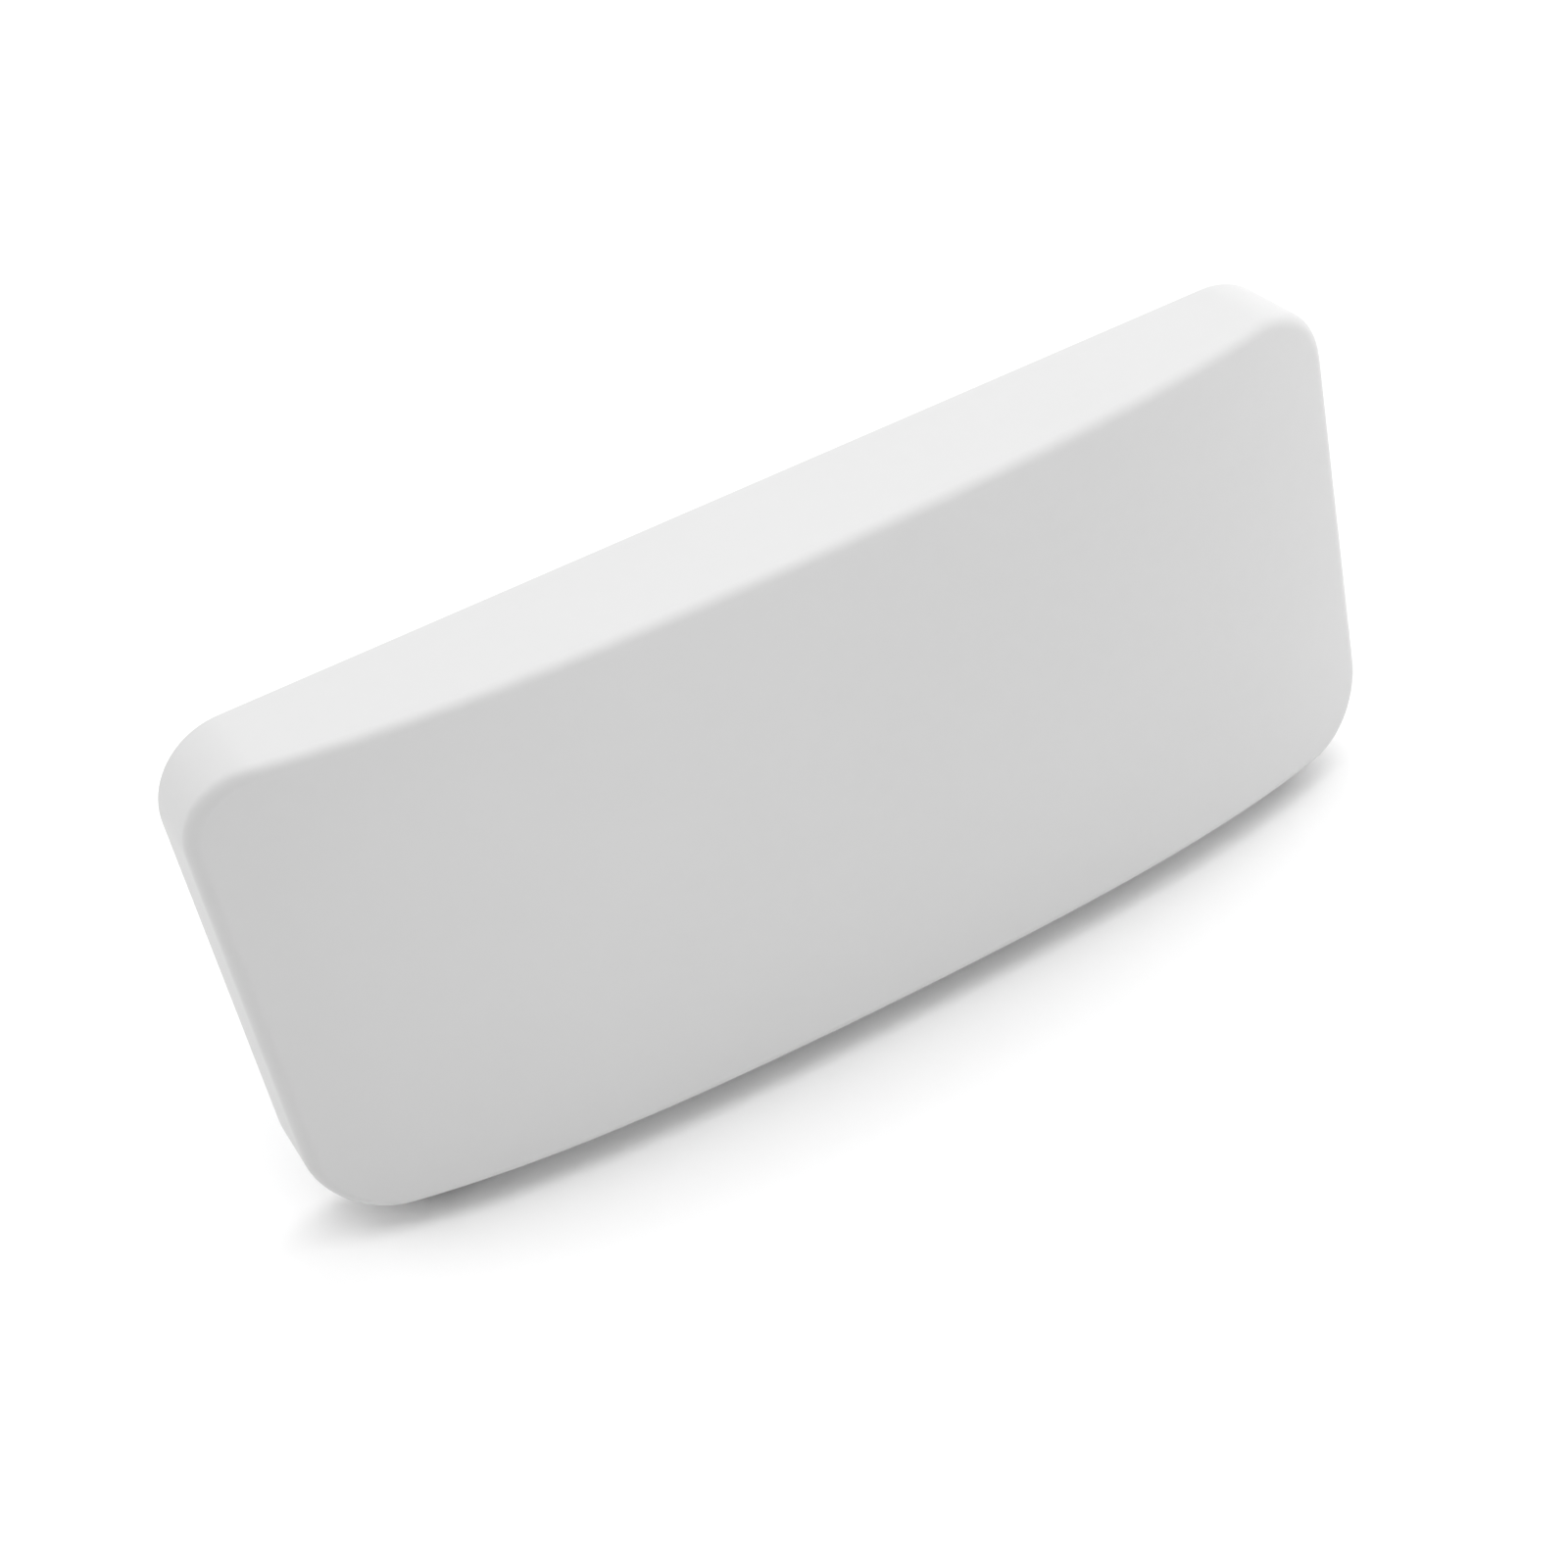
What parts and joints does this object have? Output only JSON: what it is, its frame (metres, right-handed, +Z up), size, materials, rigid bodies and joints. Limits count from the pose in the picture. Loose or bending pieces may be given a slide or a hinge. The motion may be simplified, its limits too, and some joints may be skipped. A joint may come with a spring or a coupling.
{
  "type": "wall battery unit",
  "caption": "Slim landscape home battery: one-piece white cover with rounded corners and a front that bows outwards, over a hung metal chassis with modules, converter and gland box.",
  "frame": {"origin": "centre of the wall bracket's back face, so the wall is the plane y = 0", "axes": "+X to the right along the long side as one faces the unit, +Y into the wall, +Z up"},
  "size_m": [1.2, 0.18, 0.545],
  "materials": {
    "cover_white": "satin moulded, fine grain",
    "pan_coat": "powder coat",
    "rubber": "matte",
    "zinc_steel": "zinc plated",
    "bracket_coat": "powder coat",
    "cell_wrap": "blue film over an aluminium can",
    "frame_aluminium": "brushed",
    "guard_plastic": "moulded",
    "copper": "bare copper",
    "board_green": "solder mask",
    "sink_aluminium": "extruded",
    "dark_plastic": "moulded",
    "black_plastic": "moulded",
    "pale_plastic": "moulded",
    "fuse_ceramic": "unglazed",
    "lever_orange": "moulded",
    "ferrite": "sintered",
    "cable_red": "jacket",
    "cable_orange": "jacket"
  },
  "bodies": {
    "chassis": {"chassis_pan": "pan_coat", "cover_seal": "rubber", "cover_clip_lower_left": "zinc_steel", "cover_clip_upper_left": "zinc_steel", "cover_clip_lower_right": "zinc_steel", "cover_clip_upper_right": "zinc_steel", "hanger_rail_upper": "zinc_steel", "hanger_rail_lower": "zinc_steel", "levelling_screw_left": "zinc_steel", "levelling_screw_right": "zinc_steel", "foot_left": "rubber", "foot_right": "rubber", "module_1_cells": "cell_wrap", "module_1_frame": "frame_aluminium", "module_1_guard": "guard_plastic", "module_2_cells": "cell_wrap", "module_2_frame": "frame_aluminium", "module_2_guard": "guard_plastic", "module_3_cells": "cell_wrap", "module_3_frame": "frame_aluminium", "module_3_guard": "guard_plastic", "module_4_cells": "cell_wrap", "module_4_frame": "frame_aluminium", "module_4_guard": "guard_plastic", "link_bar_1_2": "copper", "link_bar_2_3": "copper", "link_bar_3_4": "copper", "clamp_bar_upper": "zinc_steel", "clamp_bar_lower": "zinc_steel", "bms_board": "board_green", "heat_sink": "sink_aluminium", "power_board": "board_green", "capacitor_bank": "black_plastic", "inductor_upper": "copper", "inductor_lower": "copper", "transformer": "ferrite", "fan_housing": "dark_plastic", "din_rail": "zinc_steel", "breaker_body": "pale_plastic", "terminal_block": "pale_plastic", "contactor_positive": "dark_plastic", "contactor_negative": "dark_plastic", "main_fuse": "fuse_ceramic", "service_port_housing": "dark_plastic", "flap_pin": "zinc_steel", "control_board": "board_green", "gland_box": "pan_coat", "cable_gland_1": "dark_plastic", "cable_gland_2": "dark_plastic", "cable_gland_3": "dark_plastic", "cable_positive": "cable_red", "cable_negative": "black_plastic", "cable_data": "cable_orange"},
    "cover": {"front_cover": "cover_white"},
    "bracket": {"wall_bracket": "bracket_coat"},
    "flap": {"service_flap": "cover_white"},
    "rocker": {"power_rocker": "black_plastic"},
    "button": {"pairing_button": "pale_plastic"},
    "breaker_toggle": {"breaker_lever": "lever_orange"},
    "rotor": {"fan_rotor": "black_plastic"}
  },
  "joints": [
    {"name": "cover_pull_off", "type": "slide", "parent": "chassis", "child": "cover", "axis": [0, -1, 0], "range_m": [0, 0.2]},
    {"name": "bracket_unhook", "type": "slide", "parent": "chassis", "child": "bracket", "axis": [0, 0, -1], "range_m": [0, 0.018]},
    {"name": "flap_hinge", "type": "hinge", "parent": "chassis", "child": "flap", "pos_m": [0.5967, -0.0486, 0.072], "axis": [0, -1, 0], "range_deg": [0, 100]},
    {"name": "power_rocker_tilt", "type": "hinge", "parent": "chassis", "child": "rocker", "pos_m": [0.5645, -0.0515, 0.039], "axis": [0, 1, 0], "range_deg": [0, 16]},
    {"name": "pairing_button_press", "type": "slide", "parent": "chassis", "child": "button", "axis": [-1, 0, 0], "range_m": [0, 0.0015], "stiffness_N_per_m": 700},
    {"name": "breaker_toggle", "type": "hinge", "parent": "chassis", "child": "breaker_toggle", "pos_m": [0.488, -0.093, 0.1], "axis": [1, 0, 0], "range_deg": [0, 57]},
    {"name": "fan_spin", "type": "hinge", "parent": "chassis", "child": "rotor", "pos_m": [0.272, -0.075, -0.2155], "axis": [0, 0, 1], "continuous": true}
  ]
}
